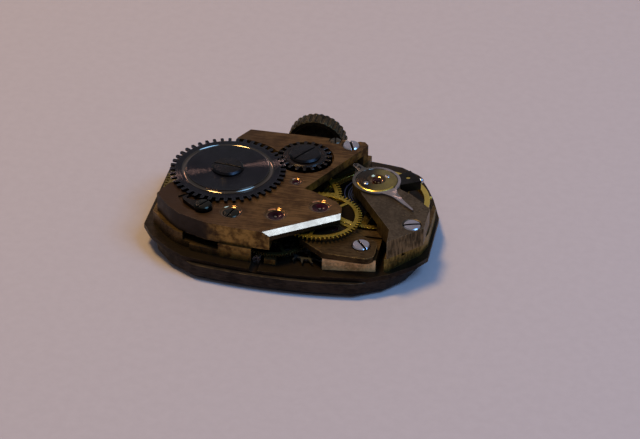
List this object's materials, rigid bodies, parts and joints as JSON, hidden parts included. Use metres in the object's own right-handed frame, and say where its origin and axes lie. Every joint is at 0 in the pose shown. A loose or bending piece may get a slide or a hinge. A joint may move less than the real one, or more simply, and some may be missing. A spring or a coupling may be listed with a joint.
{
  "type": "watch movement",
  "caption": "Small shaped hand-wound watch movement in its casing ring, with bridges, going train, barrel, escapement, balance, motion work and winding crown.",
  "frame": {"origin": "on the hand axis, in the plane of the casing ring's lower rim", "axes": "+X towards the balance end, +Y towards the crown, +Z towards the bridges"},
  "size_m": [0.0178, 0.0147, 0.0042],
  "materials": {
    "patinated_plate": "gilt main plate with a dull yellow-brown patina",
    "patinated_bridge": "gilt bridges gone copper and grey-brown, with stains",
    "cock_brass": "grey-brown cock, satin, with stains",
    "ring_metal": "black-brown casing ring, satin",
    "dial_metal": "plain pale dial, matt",
    "dark_steel": "winding wheels in near-black blued steel, polished",
    "bright_steel": "polished bright screws and regulator",
    "plain_steel": "plain steel arbors, levers and pinions",
    "brown_screw": "dark worn screws",
    "gold_wheel": "gilt train wheels",
    "dull_wheel": "dull brown-gold wheels and barrel",
    "balance_gold": "bright gilt balance",
    "ruby": "deep red synthetic ruby",
    "blued_spring": "blued spring strip",
    "crown_metal": "worn gilt crown"
  },
  "bodies": {
    "movement": {"casing_ring": "ring_metal", "dial": "dial_metal", "mainplate": "patinated_plate", "barrel_bridge": "patinated_bridge", "escape_bridge": "patinated_bridge", "balance_cock": "cock_brass", "upper_jewels": "ruby", "plate_jewels": "ruby", "jewel_cap": "gold_wheel", "cap_jewel": "ruby", "cap_screws": "bright_steel", "bridge_screws": "bright_steel", "blued_screws": "brown_screw", "setting_lever_screw": "brown_screw", "crown_wheel_screw": "dark_steel", "crown_wheel_core": "plain_steel", "stud_carrier": "plain_steel", "hairspring_stud": "plain_steel", "stud_screw": "bright_steel", "click_spring": "plain_steel", "banking_pins": "plain_steel", "dial_foot_screws": "bright_steel", "setting_lever_spring": "plain_steel", "hairspring": "blued_spring"},
    "fourth": {"fourth_wheel": "dull_wheel", "fourth_pinion": "plain_steel"},
    "third": {"third_wheel": "gold_wheel", "third_pinion": "plain_steel"},
    "centre": {"centre_wheel": "gold_wheel", "centre_pinion": "plain_steel", "cannon_pinion": "plain_steel"},
    "barrel": {"barrel_drum": "dull_wheel", "barrel_cover": "dull_wheel", "mainspring": "blued_spring"},
    "escape": {"escape_wheel": "dull_wheel", "escape_pinion": "plain_steel"},
    "minute": {"minute_wheel": "gold_wheel"},
    "hour": {"hour_wheel": "gold_wheel"},
    "setting": {"setting_wheel": "plain_steel"},
    "ratchet": {"ratchet_wheel": "dark_steel", "barrel_arbor": "plain_steel", "ratchet_screw": "dark_steel"},
    "crown_gear": {"crown_wheel": "dark_steel"},
    "winding": {"winding_pinion": "plain_steel"},
    "clutch": {"clutch": "plain_steel"},
    "stem": {"stem": "plain_steel", "crown": "crown_metal"},
    "lever": {"setting_lever": "plain_steel"},
    "yoke": {"yoke": "plain_steel"},
    "click": {"click": "dark_steel"},
    "pallet": {"pallet_fork": "plain_steel", "pallet_jewels": "ruby"},
    "balance": {"balance_wheel": "balance_gold", "balance_screws": "balance_gold", "balance_staff": "plain_steel", "roller": "plain_steel", "impulse_jewel": "ruby", "hairspring_collet": "balance_gold"},
    "regulator": {"regulator": "bright_steel"}
  },
  "joints": [
    {"name": "fourth_spin", "type": "hinge", "parent": "movement", "child": "fourth", "pos_m": [-0.00048, -0.00385, 0.00178], "axis": [0, 0, 1], "continuous": true},
    {"name": "third_spin", "type": "hinge", "parent": "movement", "child": "third", "pos_m": [0.002, -0.00243, 0.0028], "axis": [0, 0, 1], "continuous": true},
    {"name": "centre_spin", "type": "hinge", "parent": "movement", "child": "centre", "pos_m": [0, 0, 0.0025], "axis": [0, 0, 1], "continuous": true},
    {"name": "barrel_spin", "type": "hinge", "parent": "movement", "child": "barrel", "pos_m": [-0.00442, 0.00027, 0.0018], "axis": [0, 0, 1], "continuous": true},
    {"name": "escape_spin", "type": "hinge", "parent": "movement", "child": "escape", "pos_m": [0.00165, -0.0043, 0.0015], "axis": [0, 0, 1], "continuous": true},
    {"name": "minute_spin", "type": "hinge", "parent": "movement", "child": "minute", "pos_m": [0.00179, 0.00109, 0.0009], "axis": [0, 0, 1], "continuous": true},
    {"name": "hour_spin", "type": "hinge", "parent": "movement", "child": "hour", "pos_m": [0, 0, 0.00075], "axis": [0, 0, 1], "continuous": true},
    {"name": "setting_spin", "type": "hinge", "parent": "movement", "child": "setting", "pos_m": [0, 0.00242, 0.0009], "axis": [0, 0, 1], "continuous": true},
    {"name": "winding_spin", "type": "hinge", "parent": "movement", "child": "winding", "pos_m": [0, 0.0046, 0.00215], "axis": [0, 1, 0], "continuous": true},
    {"name": "crown_wheel_spin", "type": "hinge", "parent": "movement", "child": "crown_gear", "pos_m": [0, 0.00285, 0.0034], "axis": [0, 0, 1], "continuous": true},
    {"name": "ratchet_spin", "type": "hinge", "parent": "movement", "child": "ratchet", "pos_m": [-0.00442, 0.00027, 0.00365], "axis": [0, 0, 1], "continuous": true},
    {"name": "crown_pull", "type": "slide", "parent": "winding", "child": "stem", "axis": [0, 1, 0], "range_m": [0, 0.00045]},
    {"name": "clutch_slide", "type": "slide", "parent": "winding", "child": "clutch", "axis": [0, 1, 0], "range_m": [-0.00035, 0]},
    {"name": "setting_lever_turn", "type": "hinge", "parent": "movement", "child": "lever", "pos_m": [0.00149, 0.0053, 0.0009], "axis": [0, 0, 1], "range_deg": [-18, 0]},
    {"name": "yoke_turn", "type": "hinge", "parent": "movement", "child": "yoke", "pos_m": [-0.00175, 0.0039, 0.0009], "axis": [0, 0, 1], "range_deg": [-13, 0]},
    {"name": "click_pivot", "type": "hinge", "parent": "movement", "child": "click", "pos_m": [-0.00497, -0.00406, 0.0035], "axis": [0, 0, 1], "range_deg": [-9.5, 8], "stiffness_Nm_per_rad": 0.00002},
    {"name": "pallet_swing", "type": "hinge", "parent": "movement", "child": "pallet", "pos_m": [0.00304, -0.00322, 0.0015], "axis": [0, 0, 1], "range_deg": [-5, 5]},
    {"name": "balance_swing", "type": "hinge", "parent": "movement", "child": "balance", "pos_m": [0.00493, 0.00101, 0.0021], "axis": [0, 0, 1], "range_deg": [-270, 270], "stiffness_Nm_per_rad": 0.00000007},
    {"name": "regulator_turn", "type": "hinge", "parent": "movement", "child": "regulator", "pos_m": [0.00493, 0.00101, 0.0036], "axis": [0, 0, 1], "range_deg": [-12, 12]}
  ],
  "couplings": [
    {"joint": "third_spin", "follows": "fourth_spin", "ratio": -0.13333},
    {"joint": "centre_spin", "follows": "fourth_spin", "ratio": 0.016667},
    {"joint": "barrel_spin", "follows": "fourth_spin", "ratio": -0.0019841},
    {"joint": "escape_spin", "follows": "fourth_spin", "ratio": -10},
    {"joint": "minute_spin", "follows": "fourth_spin", "ratio": -0.0055556},
    {"joint": "hour_spin", "follows": "fourth_spin", "ratio": 0.0013889},
    {"joint": "setting_spin", "follows": "fourth_spin", "ratio": 0.013333},
    {"joint": "crown_wheel_spin", "follows": "winding_spin", "ratio": -0.6},
    {"joint": "ratchet_spin", "follows": "winding_spin", "ratio": 0.27273},
    {"joint": "clutch_slide", "follows": "crown_pull", "ratio": -0.77778},
    {"joint": "setting_lever_turn", "follows": "crown_pull", "rad_per_m": -674.95},
    {"joint": "yoke_turn", "follows": "crown_pull", "rad_per_m": -460.22}
  ]
}
